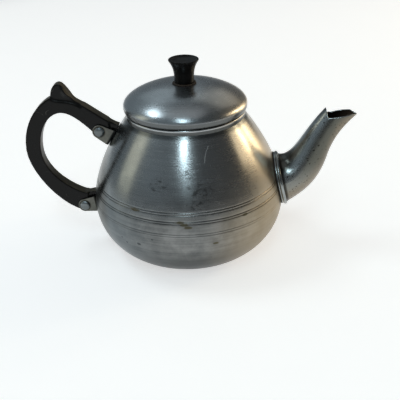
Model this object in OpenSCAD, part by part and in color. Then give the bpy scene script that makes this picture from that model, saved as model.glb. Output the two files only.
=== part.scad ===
// Spun aluminium teapot with a phenolic handle and knob.
// The origin is the centre of the flat base, on the axis of the pot.
// +Z is up, +X points to the spout and -X to the handle. Millimetres.

/* [Pot] */
// Radius of the flat base
base_r = 40; // [36:0.5:44]
// Largest radius of the bowl
belly_r = 70; // [66:0.5:74]
// Height at which the bowl is widest
belly_z = 40; // [36:0.5:44]
// Radius at the top of the sloping wall
neck_r = 42.3; // [42:0.1:42.8]
// Height at the top of the sloping wall
neck_z = 104; // [103:0.5:105]
// Sheet thickness of the pot
pot_wall = 1.2; // [0.9:0.1:1.4]
// Height of the upright rim above the sloping wall
rim_h = 4; // [3.5:0.1:4.5]
// Radius of the round mouth
mouth_r = 39.5; // [39.3:0.1:40]
// Heights of the three pairs of turned lines
band_z = [58.7, 52.7, 44];
// Distance between the two lines of a pair
band_gap = 1.6; // [1.2:0.1:2]

/* [Spout] */
// Radius of the spout where it leaves the collar
spout_base_r = 18.4; // [17:0.1:19.5]
// Half width of the spout's beak
beak_w = 7.2; // [6.8:0.1:7.6]
// Sheet thickness of the spout
spout_wall = 1.2; // [0.9:0.1:1.6]
// Height of the pouring lips above the base
lip_z = 102; // [100:0.5:103]
// How far the bead of the collar stands out from the spout
collar_proud = 1.8; // [1.4:0.1:2.2]
// Width of the bead along the spout
collar_w = 2.3; // [2:0.1:2.6]
// Radius of one strainer hole
strainer_hole_r = 1.3; // [1:0.1:1.5]
// Distance between strainer holes
strainer_pitch = 5.2; // [4:0.1:5.5]

/* [Handle] */
// Thickness of the handle across the pot
handle_t = 9; // [8:0.5:12]
// Thickness of the two tongues that reach the pot
tongue_t = 6.6; // [5:0.2:7.6]
// Depth that the spur stands back from both sides of the handle
spur_recess = 0.9; // [0.5:0.1:1.1]
// Radius of the round thumb pad on the spur
thumb_pad_r = 5.7; // [5.3:0.1:6.2]
// Height of the upper bracket on the pot
upper_bracket_z = 87.6; // [86:0.1:88.6]
// Height of the lower bracket on the pot
lower_bracket_z = 34.4; // [33.6:0.1:35]
// Distance from the pot to the upper cross rivet
upper_reach = 10.2; // [9.6:0.1:10.8]
// Distance from the pot to the lower cross rivet
lower_reach = 9.5; // [9:0.1:10]
// Sheet thickness of the brackets
bracket_t = 1.2; // [1:0.1:1.5]
// Width of the bracket strap where it meets the pot
bracket_w = 12.6; // [12:0.2:13]
// Radius of the bracket's rounded ears
ear_r = 5.1; // [4.6:0.1:5.4]

/* [Rivets] */
// Radius of the cross rivets
cross_rivet_r = 2; // [1.6:0.1:2.4]
// Radius of a cross rivet's domed head
cross_head_r = 3.7; // [3.4:0.1:4]
// Height of a cross rivet's domed head
cross_head_h = 1.9; // [1.6:0.1:2.2]
// Radius of the small rivets that hold a bracket to the pot
wall_rivet_r = 1.5; // [1.2:0.1:1.7]
// Distance of a small rivet from the middle of its bracket
wall_rivet_offset = 3.4; // [3:0.1:3.6]

/* [Lid] */
// Largest radius of the lid
lid_r = 44; // [43.8:0.1:44.8]
// Height of the crown of the lid
lid_top_z = 126.4; // [125:0.2:128]
// Sheet thickness of the lid
lid_wall = 1; // [0.8:0.1:1.2]
// Gap between the lid and the rim of the pot
lid_gap = 0.6; // [0.4:0.1:1]
// Depth that the locating rim reaches below the lid
locating_depth = 8; // [6:0.5:10]
// Running gap between the locating rim and the mouth
locating_gap = 0.6; // [0.4:0.1:0.8]

/* [Knob] */
// Radius at the top of the knob
knob_top_r = 10.6; // [10:0.1:11]
// Radius at the foot of the knob
knob_foot_r = 6.8; // [6.4:0.1:7.2]
// Height of the knob
knob_h = 16.4; // [15:0.2:18]
// Thickness of the washer under the knob
washer_t = 1; // [0.6:0.1:1.4]
// Radius of the washer under the knob
washer_r = 8.6; // [8:0.1:9.2]
// Radius of the knob's screw
screw_r = 2; // [1.5:0.1:2.4]

/* [Hidden] */
$fn = 96;

// Heights that follow from the driving dimensions.
rim_z = neck_z + rim_h;
lid_z = rim_z + lid_gap;
knob_z = lid_top_z + washer_t;
knob_top_z = knob_z + knob_h;
screw_seat_z = lid_top_z - lid_wall - 0.8;
// Radius of the small rivets' heads inside the pot.
inner_head_r = wall_rivet_r + 1.2;

// Control points of the wall: bowl from the base to the belly, slope from the belly to the neck.
bowl_curve = [
    [base_r, 0], [base_r + 14.7, 3.2], [belly_r, belly_z - 20.5], [belly_r, belly_z]
];
slope_curve = [
    [belly_r, belly_z], [belly_r, belly_z + 22.2], [neck_r + 12.4, neck_z - 16], [neck_r, neck_z]
];

// Side view of the spout: upper and lower outline, each in two curves that meet at their ends.
spout_top_a = [[66, 70.3], [77, 67], [82, 88], [99.4, 107]];
spout_top_b = [[99.4, 107], [104, 112.8], [110, 114], [118, 113]];
spout_low_a = [[73.6, 34.3], [85, 42], [96, 48], [102, 71]];
spout_low_b = [[102, 71], [104.2, 79.5], [110, 92.5], [121.7, lip_z]];
// Shares of the spout's length at which those curves meet.
spout_cut = 0.75;
spout_low_split = 0.62;
// Share at which the taper of the spout ends, and share from which the beak closes to its point.
spout_taper_end = 0.8;
beak_close = 0.88;
// The lips rise gently towards the point of the beak and drop at its end.
lip_line = [[104, lip_z - 0.6], [117.5, lip_z + 1.5], [121.7, lip_z]];
// Slope of the strainer's middle.
strainer_tilt = 12;

// Side view of the handle, from the top of the upper arm round to the lower arm and back inside.
handle_curves = [
    [[-44, 95], [-55, 98.6], [-66, 109], [-78, 116.2]],
    [[-78, 116.2], [-80.5, 117.7], [-83, 124.5], [-86.5, 127.6]],
    [[-86.5, 127.6], [-89, 129.9], [-92.8, 127.5], [-94.2, 123.5]],
    [[-94.2, 123.5], [-94.8, 121.8], [-95, 120.2], [-95.3, 118.6]],
    [[-95.3, 118.6], [-106.5, 113.2], [-118.1, 98.6], [-118.1, 78.3]],
    [[-118.1, 78.3], [-118.1, 61], [-98.5, 32.4], [-79.5, 27.7]],
    [[-79.5, 27.7], [-76, 26.9], [-70, 26.5], [-60, 26.5]],
    [[-60, 45], [-70, 44.6], [-74, 43.6], [-78, 43.2]],
    [[-78, 43.2], [-92.3, 48.7], [-107.1, 61.8], [-107.1, 78]],
    [[-107.1, 78], [-107.1, 95], [-98, 107], [-89, 107]],
    [[-89, 107], [-78.8, 107], [-68, 91.8], [-56, 80.5]],
    [[-56, 80.5], [-53, 78], [-50, 75.5], [-46, 73]]
];
// Crease at the foot of the spur, from the notch to the upper arm.
spur_crease = [[-95.6, 118.4], [-92, 113.6], [-81, 118], [-73.5, 110.5]];
// Middle of the thumb pad and its tilt from level.
thumb_pad_at = [-83.4, 122.5];
thumb_pad_tilt = 54;
// Round shoulders at which the handle narrows to its tongues: centre and radius.
upper_shoulder = [-67, 97, 12];
lower_shoulder = [-88.5, 42, 12.5];

// Colours
aluminium = [0.66, 0.67, 0.68];
bright = [0.74, 0.75, 0.76];
phenolic = [0.09, 0.08, 0.08];
brass = [0.75, 0.6, 0.32];
fibre = [0.32, 0.17, 0.1];
steel = [0.55, 0.56, 0.58];

// Point on a cubic curve.
function bezier(c, t) =
    pow(1 - t, 3) * c[0] + 3 * t * pow(1 - t, 2) * c[1]
    + 3 * t * t * (1 - t) * c[2] + pow(t, 3) * c[3];
// Unit normal of a cubic curve, on its right-hand side.
function bezier_normal(c, t) =
    let (d = bezier(c, min(t + 0.001, 1)) - bezier(c, max(t - 0.001, 0)))
    [d.y, -d.x] / norm(d);
// Points along a cubic curve, moved sideways by off.
function bezier_run(c, n, off = 0) =
    [for (i = [0:n]) bezier(c, i / n) + off * bezier_normal(c, i / n)];
function reverse(v) = [for (i = [len(v) - 1:-1:0]) v[i]];
function mix(a, b, t) = a + (b - a) * t;

// Position along a rising curve at height z, by halving.
function curve_at(c, z, lo = 0, hi = 1, n = 24) =
    n == 0 ? (lo + hi) / 2
    : bezier(c, (lo + hi) / 2).y < z ? curve_at(c, z, (lo + hi) / 2, hi, n - 1)
    : curve_at(c, z, lo, (lo + hi) / 2, n - 1);
// Outside radius of the pot at height z.
function pot_r(z) =
    z < belly_z ? bezier(bowl_curve, curve_at(bowl_curve, z)).x
    : bezier(slope_curve, curve_at(slope_curve, z)).x;
// Lean of the wall at height z: positive where it faces upwards.
function pot_lean(z) = atan((pot_r(z - 0.5) - pot_r(z + 0.5)));

// Outline of the pot from the base to the neck, moved outwards by off.
function pot_outline(off) =
    concat(bezier_run(bowl_curve, 14, off),
        [for (i = [1:18]) bezier(slope_curve, i / 18) + off * bezier_normal(slope_curve, i / 18)]);

// Everything inside the outside of the pot, grown by a gap.
module pot_space(gap) {
    rotate_extrude()
        polygon(concat([[0, -gap]], pot_outline(gap), [[neck_r + gap, rim_z], [0, rim_z]]));
}

// Places its children on the pot wall at height z on the handle side: local +X points away from
// the wall and local +Z runs up the wall.
module on_wall(z) {
    translate([-pot_r(z), 0, z])
        rotate([0, pot_lean(z), 0])
            rotate([0, 0, 180])
                children();
}

// Holes of the strainer: a middle hole and two six-sided rings.
module strainer_holes() {
    translate([pot_r(52), 0, 52])
        rotate([0, 90 - strainer_tilt, 0])
            for (row = [-2:2])
                for (i = [0:4 - abs(row)])
                    translate([row * strainer_pitch * sqrt(3) / 2,
                               (i - (4 - abs(row)) / 2) * strainer_pitch, -6])
                        cylinder(h = 12, r = strainer_hole_r, $fn = 24);
}

// A shallow V-shaped line turned into the wall at height z.
module turned_line(z) {
    r = pot_r(z);
    rotate_extrude()
        polygon([[r - 0.35, z], [r + 1, z - 0.8], [r + 1, z + 0.8]]);
}

module pot_body() {
    color(aluminium)
    difference() {
        rotate_extrude()
            polygon(concat(
                [[0, 0]],
                pot_outline(0),
                [[neck_r + 0.4, neck_z + 0.5], [neck_r + 0.5, rim_z - 0.8],
                 [neck_r - 0.3, rim_z], [mouth_r + 0.4, rim_z], [mouth_r, rim_z - 0.4],
                 [mouth_r, rim_z - pot_wall], [neck_r - pot_wall, rim_z - pot_wall]],
                [[neck_r - pot_wall, neck_z]],
                [for (i = [17:-1:0])
                    bezier(slope_curve, i / 18) - pot_wall * bezier_normal(slope_curve, i / 18)],
                [for (i = [13:-1:1])
                    bezier(bowl_curve, i / 14) - pot_wall * bezier_normal(bowl_curve, i / 14)],
                [[base_r - 1, pot_wall], [0, pot_wall]]));
        for (z = band_z)
            for (side = [-0.5, 0.5])
                turned_line(z + side * band_gap);
        strainer_holes();
        for (z = [upper_bracket_z, lower_bracket_z])
            on_wall(z)
                for (side = [-1, 1])
                    translate([0, 0, side * wall_rivet_offset])
                        rotate([0, 90, 0]) {
                            translate([0, 0, -4])
                                cylinder(h = 8, r = wall_rivet_r, $fn = 24);
                            translate([0, 0, -4])
                                cylinder(h = 4 - pot_wall, r = inner_head_r + 0.05, $fn = 32);
                        }
    }
}

// Upper and lower outline of the spout at a share t of its length.
function spout_top(t) =
    t < spout_cut ? bezier(spout_top_a, t / spout_cut)
    : bezier(spout_top_b, (t - spout_cut) / (1 - spout_cut));
function spout_low(t) =
    t < spout_low_split ? bezier(spout_low_a, t / spout_low_split)
    : bezier(spout_low_b, (t - spout_low_split) / (1 - spout_low_split));
// Half width of the spout at a share t of its length: an even taper, then the rounded point.
function spout_half_width(t) =
    mix(spout_base_r, beak_w, min(t / spout_taper_end, 1))
    * (t < beak_close ? 1 : sqrt(1 - pow((t - beak_close) / (1.004 - beak_close), 2)));
// Point on the spout at share t and angle a from its top, moved inwards by inset.
function spout_point(t, a, inset) =
    let (mid = (spout_top(t) + spout_low(t)) / 2,
         half = (spout_top(t) - spout_low(t)) / 2,
         p = mid + half * (1 - inset / norm(half)) * cos(a),
         y = (spout_half_width(t) - inset) * sin(a))
    [p.x, y, p.y];
function above_lips(p) = p.z > lookup(p.x, lip_line);
// Share of the length at which the line at angle a ends: at the square cut over the top half,
// and at the pouring lips below it.
function spout_end(a, inset, lo = spout_cut, hi = 1, n = 16) =
    let (half_way = (lo + hi) / 2)
    n == 0 ? lo
    : above_lips(spout_point(half_way, a, inset)) ? spout_end(a, inset, lo, half_way, n - 1)
    : spout_end(a, inset, half_way, hi, n - 1);
// The point of the pot wall beside a point of the spout's base.
function seat(p, gap) = [sqrt(pow(pot_r(p.z) + gap, 2) - p.y * p.y), p.y, p.z];

spout_rings = 20;
spout_sides = 32;
// One skin of the spout, ring after ring, from the pot wall to the open end.
function spout_skin(inset) = [
    for (i = [-1:spout_rings])
        for (j = [0:spout_sides - 1])
            let (a = 360 * j / spout_sides, end = spout_end(a, inset))
            i < 0 ? seat(spout_point(0, a, inset), 0.05)
            : spout_point(end * i / spout_rings, a, inset)
];

module spout() {
    n = spout_sides;
    rows = spout_rings + 2;
    outer = 0;
    inner = n * rows;
    last = n * (rows - 1);
    color(bright)
        polyhedron(
            points = concat(spout_skin(0), spout_skin(spout_wall)),
            faces = concat(
                [for (i = [0:rows - 2], j = [0:n - 1]) let (k = (j + 1) % n)
                    [outer + i * n + j, outer + i * n + k, outer + (i + 1) * n + k]],
                [for (i = [0:rows - 2], j = [0:n - 1]) let (k = (j + 1) % n)
                    [outer + i * n + j, outer + (i + 1) * n + k, outer + (i + 1) * n + j]],
                [for (i = [0:rows - 2], j = [0:n - 1]) let (k = (j + 1) % n)
                    [inner + i * n + j, inner + (i + 1) * n + k, inner + i * n + k]],
                [for (i = [0:rows - 2], j = [0:n - 1]) let (k = (j + 1) % n)
                    [inner + i * n + j, inner + (i + 1) * n + j, inner + (i + 1) * n + k]],
                [for (j = [0:n - 1]) let (k = (j + 1) % n) [outer + j, inner + j, inner + k]],
                [for (j = [0:n - 1]) let (k = (j + 1) % n) [outer + j, inner + k, outer + k]],
                [for (j = [0:n - 1]) let (k = (j + 1) % n)
                    [outer + last + j, inner + last + k, inner + last + j]],
                [for (j = [0:n - 1]) let (k = (j + 1) % n)
                    [outer + last + j, outer + last + k, inner + last + k]]),
            convexity = 6);
}

// Section of the collar: distance out from the spout and distance from the pot wall. A low land
// meets the wall and the round bead follows it.
collar_land_h = 1.2;
collar_land_w = 1.9;
collar_section = concat(
    [[0.05, 0], [collar_land_h, 0], [collar_land_h, collar_land_w]],
    [for (b = [-60:30:90])
        [0.05 + collar_proud / 2 * (1 + cos(b)), collar_land_w + collar_w / 2 * (0.9 + sin(b))]],
    [[0.05, collar_land_w + 1.9 * collar_w / 2]]);

// The collar lies round the foot of the spout.
module spout_collar() {
    n = 36;
    sides = len(collar_section);
    color(bright)
        polyhedron(
            points = [
                for (j = [0:n - 1])
                    let (a = 360 * j / n,
                         foot = spout_point(0, a, 0),
                         out = spout_point(0, a, -1) - foot)
                    for (p = collar_section)
                        seat(foot + out * p[0], 0.05) + [p[1], 0, 0]
            ],
            faces = concat(
                [for (j = [0:n - 1], s = [0:sides - 1])
                    let (k = (j + 1) % n, u = (s + 1) % sides)
                    [j * sides + s, j * sides + u, k * sides + u]],
                [for (j = [0:n - 1], s = [0:sides - 1])
                    let (k = (j + 1) % n, u = (s + 1) % sides)
                    [j * sides + s, k * sides + u, k * sides + s]]),
            convexity = 4);
}

module handle_side() {
    polygon([for (c = handle_curves) for (i = [0:9]) bezier(c, i / 10)]);
}

// What is cut from both sides of the handle beyond a round shoulder, up to the pot.
module shoulder_cut(shoulder, low, high) {
    for (side = [-1, 1])
        translate([0, side * (tongue_t / 2 + 5), 0])
            rotate([90, 0, 0])
                difference() {
                    translate([shoulder.x, low, -5])
                        cube([50, high - low, 10]);
                    translate([shoulder.x, shoulder.y, -6])
                        cylinder(h = 12, r = shoulder.z);
                    translate([shoulder.x - 20, low - 5, -6])
                        cube([20 + shoulder.z * 0.5, shoulder.y - low + 5 - shoulder.z * 0.8, 12]);
                }
}

// The side faces of the spur stand back from those of the loop, above the crease.
module spur_sides() {
    for (side = [-1, 1])
        translate([0, side * (handle_t / 2 - spur_recess + 5), 0])
            rotate([90, 0, 0])
                translate([0, 0, -5])
                    linear_extrude(height = 10)
                        polygon(concat(bezier_run(spur_crease, 12),
                            [[-73.5, 135], [-104, 135], [-104, 118.4]]));
}

// A round pad that flares out to the thumb face of the spur.
module thumb_pad() {
    flare_h = 4.6;
    rim_h = 0.8;
    translate([thumb_pad_at.x, 0, thumb_pad_at.y])
        rotate([0, thumb_pad_tilt, 0]) {
            translate([0, 0, -rim_h])
                cylinder(h = rim_h, r = thumb_pad_r);
            translate([0, 0, -rim_h - flare_h])
                cylinder(h = flare_h, r1 = handle_t / 2 - spur_recess - 0.5, r2 = thumb_pad_r);
        }
}

// What a bracket takes away from the handle: room for its web and the bore for its cross rivet.
module bracket_room(z, reach) {
    on_wall(z) {
        translate([-3, -10, -bracket_w / 2 - 2])
            cube([3 + bracket_t + 1.1, 20, bracket_w + 2.2]);
        translate([reach, 10, 0])
            rotate([90, 0, 0])
                cylinder(h = 20, r = cross_rivet_r, $fn = 32);
    }
}

module handle() {
    color(phenolic)
    difference() {
        union() {
            difference() {
                translate([0, handle_t / 2, 0])
                    rotate([90, 0, 0])
                        linear_extrude(height = handle_t)
                            handle_side();
                spur_sides();
            }
            thumb_pad();
        }
        pot_space(0.2);
        shoulder_cut(upper_shoulder, 70, 120);
        shoulder_cut(lower_shoulder, 20, 50);
        bracket_room(upper_bracket_z, upper_reach);
        bracket_room(lower_bracket_z, lower_reach);
    }
}

// A folded strap: a web against the pot and two ears that hold the handle between them.
module bracket(z, reach) {
    width = handle_t + 2 * bracket_t;
    color(aluminium)
    on_wall(z)
        difference() {
            union() {
                translate([0, -width / 2, -bracket_w / 2])
                    cube([bracket_t, width, bracket_w]);
                for (side = [0, 1])
                    translate([0, -width / 2 + side * (width - bracket_t) + bracket_t, 0])
                        rotate([90, 0, 0])
                            linear_extrude(height = bracket_t)
                                union() {
                                    polygon([[0, -bracket_w / 2], [reach, -ear_r],
                                             [reach, ear_r], [0, bracket_w / 2]]);
                                    translate([reach, 0])
                                        circle(r = ear_r);
                                }
            }
            translate([reach, width, 0])
                rotate([90, 0, 0])
                    cylinder(h = 2 * width, r = cross_rivet_r, $fn = 32);
            for (side = [-1, 1])
                translate([-1, 0, side * wall_rivet_offset])
                    rotate([0, 90, 0])
                        cylinder(h = 4, r = wall_rivet_r, $fn = 24);
        }
}

module upper_bracket() { bracket(upper_bracket_z, upper_reach); }
module lower_bracket() { bracket(lower_bracket_z, lower_reach); }

// A domed cap of the given radius and height that stands on the XY plane.
module domed_head(r, h) {
    ball_r = (r * r + h * h) / (2 * h);
    intersection() {
        translate([0, 0, h - ball_r])
            sphere(r = ball_r, $fn = 48);
        cylinder(h = h + 1, r = r + 1);
    }
}

// A rivet right through the handle, with a domed head on both sides.
module cross_rivet(z, reach) {
    length = handle_t + 2 * bracket_t;
    color(bright)
    on_wall(z)
        translate([reach, 0, 0])
            rotate([90, 0, 0]) {
                translate([0, 0, -length / 2])
                    cylinder(h = length, r = cross_rivet_r - 0.02, $fn = 32);
                for (side = [0, 1])
                    mirror([0, 0, side])
                        translate([0, 0, length / 2])
                            domed_head(cross_head_r, cross_head_h);
            }
}

module upper_cross_rivet() { cross_rivet(upper_bracket_z, upper_reach); }
module lower_cross_rivet() { cross_rivet(lower_bracket_z, lower_reach); }

// The two small rivets that hold a bracket to the pot, with flat heads on both sides.
module wall_rivets(z) {
    head_h = 0.9;
    color(bright)
    on_wall(z)
        for (side = [-1, 1])
            translate([0, 0, side * wall_rivet_offset])
                rotate([0, 90, 0]) {
                    translate([0, 0, -pot_wall - head_h])
                        cylinder(h = pot_wall + bracket_t + 2 * head_h, r = wall_rivet_r - 0.02, $fn = 24);
                    translate([0, 0, bracket_t])
                        cylinder(h = head_h, r = wall_rivet_r + 1, $fn = 32);
                    translate([0, 0, -pot_wall - head_h])
                        cylinder(h = head_h, r = inner_head_r, $fn = 32);
                }
}

module upper_wall_rivets() { wall_rivets(upper_bracket_z); }
module lower_wall_rivets() { wall_rivets(lower_bracket_z); }

// The crown of the lid, from its flat middle to its widest edge.
lid_flat_r = 9.5;
lid_edge_z = lid_z + 3.8;
lid_curve = [
    [lid_flat_r, lid_top_z], [lid_flat_r + 16.4, lid_top_z], [lid_r, lid_top_z - 8.2], [lid_r, lid_edge_z]
];

module lid_dome() {
    color(aluminium)
        rotate_extrude()
            polygon(concat(
                [[screw_r + 0.2, lid_top_z]],
                bezier_run(lid_curve, 18),
                [[lid_r - 0.2, lid_z + 1.6], [lid_r - 0.6, lid_z + 0.6], [lid_r - 1.5, lid_z],
                 [mouth_r + 1.1, lid_z], [mouth_r + 1.1, lid_z + lid_wall],
                 [lid_r - 1.8, lid_z + lid_wall]],
                reverse(bezier_run(lid_curve, 18, lid_wall)),
                [[screw_r + 0.2, lid_top_z - lid_wall]]));
}

// A ring under the lid that drops into the mouth; the turned edge of the lid holds its flange.
module lid_locating_rim() {
    skirt_r = mouth_r - locating_gap;
    sheet = 0.9;
    color(aluminium)
        rotate_extrude()
            polygon([
                [skirt_r - sheet, lid_z - locating_depth], [skirt_r, lid_z - locating_depth],
                [skirt_r, lid_z + lid_wall], [lid_r - 2.6, lid_z + lid_wall],
                [lid_r - 2.6, lid_z + lid_wall + sheet], [skirt_r - sheet, lid_z + lid_wall + sheet]
            ]);
}

knob_curve = [
    [knob_foot_r, knob_z], [knob_foot_r + 0.2, knob_z + 7.1],
    [knob_foot_r + 0.4, knob_z + 10.8], [knob_top_r - 0.1, knob_top_z - 1]
];
insert_h = 9;
insert_r = 3.2;

module knob() {
    color(phenolic)
        difference() {
            rotate_extrude()
                polygon(concat(
                    [[0, knob_z]],
                    bezier_run(knob_curve, 14),
                    [[knob_top_r, knob_top_z - 0.5], [knob_top_r - 0.4, knob_top_z],
                     [knob_top_r - 1.2, knob_top_z], [knob_top_r - 3, knob_top_z - 0.9],
                     [0, knob_top_z - 1.6]]));
            translate([0, 0, knob_z - 1])
                cylinder(h = insert_h + 1, r = insert_r, $fn = 48);
        }
}

module knob_insert() {
    color(brass)
        difference() {
            translate([0, 0, knob_z])
                cylinder(h = insert_h, r = insert_r - 0.02, $fn = 48);
            translate([0, 0, knob_z - 1])
                cylinder(h = insert_h, r = screw_r, $fn = 48);
        }
}

module knob_washer() {
    color(fibre)
        difference() {
            translate([0, 0, lid_top_z])
                cylinder(h = washer_t, r = washer_r);
            translate([0, 0, lid_top_z - 1])
                cylinder(h = washer_t + 2, r = screw_r + 0.2, $fn = 48);
        }
}

module knob_screw() {
    head_r = 3.6;
    head_h = 2.2;
    color(steel)
        difference() {
            union() {
                translate([0, 0, screw_seat_z])
                    cylinder(h = 9.5, r = screw_r - 0.02, $fn = 48);
                translate([0, 0, screw_seat_z - head_h])
                    cylinder(h = head_h, r = head_r, $fn = 48);
            }
            translate([-head_r - 1, -0.5, screw_seat_z - head_h - 1])
                cube([2 * head_r + 2, 1, 1.9]);
        }
}

module knob_inner_washer() {
    color(steel)
        difference() {
            translate([0, 0, screw_seat_z])
                cylinder(h = lid_top_z - lid_wall - screw_seat_z, r = 6);
            translate([0, 0, screw_seat_z - 1])
                cylinder(h = 4, r = screw_r + 0.2, $fn = 48);
        }
}

pot_body();
spout();
spout_collar();
handle();
upper_bracket();
lower_bracket();
upper_cross_rivet();
lower_cross_rivet();
upper_wall_rivets();
lower_wall_rivets();
lid_dome();
lid_locating_rim();
knob();
knob_insert();
knob_washer();
knob_screw();
knob_inner_washer();
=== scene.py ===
"""Aged spun-aluminium teapot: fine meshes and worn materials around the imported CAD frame."""
import math

import bmesh
import bpy
import numpy as np
from mathutils import Matrix, Quaternion, Vector


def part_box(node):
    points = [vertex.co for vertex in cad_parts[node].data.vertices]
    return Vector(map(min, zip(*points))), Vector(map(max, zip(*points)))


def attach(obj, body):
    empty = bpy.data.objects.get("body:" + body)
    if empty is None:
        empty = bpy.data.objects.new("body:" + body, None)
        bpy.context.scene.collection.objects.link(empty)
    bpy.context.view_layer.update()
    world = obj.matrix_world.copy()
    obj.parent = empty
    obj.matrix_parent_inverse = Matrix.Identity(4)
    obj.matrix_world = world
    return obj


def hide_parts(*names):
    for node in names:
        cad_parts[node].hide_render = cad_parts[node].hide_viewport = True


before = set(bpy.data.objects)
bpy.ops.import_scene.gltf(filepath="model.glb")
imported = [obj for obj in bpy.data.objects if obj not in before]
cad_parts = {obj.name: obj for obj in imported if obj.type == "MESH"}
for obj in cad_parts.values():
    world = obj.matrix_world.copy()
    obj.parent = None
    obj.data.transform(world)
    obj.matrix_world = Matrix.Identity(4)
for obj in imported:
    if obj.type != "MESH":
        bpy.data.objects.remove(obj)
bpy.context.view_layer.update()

MM = 0.001


def box_mm(node):
    """Lowest and highest corner of a CAD node in millimetres."""
    return [tuple(round(c / MM, 1) for c in corner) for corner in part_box(node)]


# ---------------- sizes in mm, from the frame
(_, _, _), (_, BELLY_R, RIM_Z) = box_mm("pot_body")
(_, _, LID_Z), (_, LID_R, LID_TOP_Z) = box_mm("lid_dome")
(_, _, KNOB_Z), (_, KNOB_R, KNOB_TOP_Z) = box_mm("knob")
(_, _, LOCATING_Z), (_, LOCATING_R, _) = box_mm("lid_locating_rim")
(_, _, _), (_, WASHER_R, _) = box_mm("knob_washer")

# Sizes that the boxes don't tell, as in the CAD source.
BASE_R = 40.0
BELLY_Z = 40.0
NECK_R = 42.3
NECK_Z = RIM_Z - 4
POT_WALL = 1.2
MOUTH_R = 39.5
BAND_Z = (58.7, 52.7, 44.0)
BAND_GAP = 1.6
SPOUT_BASE_R = 18.4
BEAK_W = 7.2
SPOUT_CUT = 0.75
SPOUT_LOW_SPLIT = 0.62
SPOUT_TAPER_END = 0.8
BEAK_CLOSE = 0.88
LIP_Z = 102.0
LIP_X = (104, 117.5, 121.7)
LIP_HEIGHTS = (LIP_Z - 0.6, LIP_Z + 1.5, LIP_Z)
COLLAR_PROUD = 1.8
COLLAR_W = 2.3
COLLAR_LAND_H = 1.2
COLLAR_LAND_W = 1.9
STRAINER_TILT = math.radians(12)
STRAINER_Z = 52.0
STRAINER_R = 1.3
STRAINER_PITCH = 5.2
HANDLE_T = 9.0
# Height of each bracket on the pot, and distance from the pot to its cross rivet.
BRACKETS = {"upper": (87.6, 10.2), "lower": (34.4, 9.5)}
BRACKET_T = 1.2
BRACKET_W = 12.6
EAR_R = 5.1
CROSS_HEAD_R = 3.7
CROSS_HEAD_H = 1.9
SHANK_R = 1.9
WALL_RIVET_OFFSET = 3.4
WALL_RIVET_R = 1.5
LID_FLAT_R = 9.5
LID_WALL = 1.0
KNOB_FOOT_R = 6.8
SCREW_R = 2.0

# Sizes that only this model has.
BAND_DEPTH = (0.27, 0.27, 0.15)
GROOVE_HALF_W = 0.27
RIM_BEAD_R = 0.75
# A little thinner than the CAD's sheet, as the lip is rounded.
SPOUT_WALL = 1.0
SPOUT_ROOT_Z = 66
# Strips at both ends of the collar's section that old dirt covers.
DIRTY_STRIPS = 3
THREAD_PITCH = 0.8
THREAD_DEPTH = 0.25
# Gap round the foot of the spout: to the pot wall, and between spout and collar.
SEAT_GAP = 0.05
# Hole for the screw in lid and washers.
SCREW_HOLE_R = SCREW_R + 0.2

BOWL_CURVE = [(BASE_R, 0), (BASE_R + 14.7, 3.2), (BELLY_R, BELLY_Z - 20.5), (BELLY_R, BELLY_Z)]
SLOPE_CURVE = [(BELLY_R, BELLY_Z), (BELLY_R, BELLY_Z + 22.2), (NECK_R + 12.4, NECK_Z - 16),
               (NECK_R, NECK_Z)]
LID_CURVE = [(LID_FLAT_R, LID_TOP_Z), (LID_FLAT_R + 16.4, LID_TOP_Z), (LID_R, LID_TOP_Z - 8.2),
             (LID_R, LID_Z + 3.8)]
KNOB_CURVE = [(KNOB_FOOT_R, KNOB_Z), (KNOB_FOOT_R + 0.2, KNOB_Z + 7.1),
              (KNOB_FOOT_R + 0.4, KNOB_Z + 10.8), (KNOB_R - 0.1, KNOB_TOP_Z - 1)]
SPOUT_TOP = [[(66, 70.3), (77, 67), (82, 88), (99.4, 107)],
             [(99.4, 107), (104, 112.8), (110, 114), (118, 113)]]
SPOUT_LOW = [[(73.6, 34.3), (85, 42), (96, 48), (102, 71)],
             [(102, 71), (104.2, 79.5), (110, 92.5), (121.7, LIP_Z)]]


# ---------------- curves
def bezier(curve, t):
    """Point on a cubic curve."""
    a, b, c, d = (np.array(p, float) for p in curve)
    u = 1 - t
    return u ** 3 * a + 3 * u * u * t * b + 3 * u * t * t * c + t ** 3 * d


def bezier_run(curve, count):
    return [bezier(curve, i / count) for i in range(count + 1)]


def offset(points, distance):
    """The line of points moved to its right-hand side."""
    p = np.array(points)
    along = np.gradient(p, axis=0)
    side = np.stack([along[:, 1], -along[:, 0]], 1)
    return list(p + distance * side / np.linalg.norm(side, axis=1)[:, None])


def arc(centre, radius, start, end, count):
    """Points of an arc in the (r, z) plane, angles in degrees."""
    angles = np.radians(np.linspace(start, end, count))
    return [(centre[0] + radius * math.cos(a), centre[1] + radius * math.sin(a)) for a in angles]


POT_LINE = np.array(bezier_run(BOWL_CURVE, 200)[:-1] + bezier_run(SLOPE_CURVE, 200))


def pot_r(z):
    """Outside radius of the pot at height z."""
    return float(np.interp(z, POT_LINE[:, 1], POT_LINE[:, 0]))


# The wall draws in by this much times the square of the height over the belly, up to the spout's root.
WALL_BEND = (BELLY_R - pot_r(SPOUT_ROOT_Z)) / (SPOUT_ROOT_Z - BELLY_Z) ** 2


# ---------------- mesh helpers
def new_object(name, verts, faces, material, sharp=35):
    """A smooth-shaded mesh object from points in mm."""
    mesh = bpy.data.meshes.new(name)
    mesh.from_pydata([tuple(MM * c for c in v) for v in verts], [], faces)
    bm = bmesh.new()
    bm.from_mesh(mesh)
    bmesh.ops.recalc_face_normals(bm, faces=bm.faces)
    bm.to_mesh(mesh)
    bm.free()
    mesh.materials.append(material)
    obj = bpy.data.objects.new(name, mesh)
    bpy.context.scene.collection.objects.link(obj)
    shade(obj, sharp)
    return obj


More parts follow.
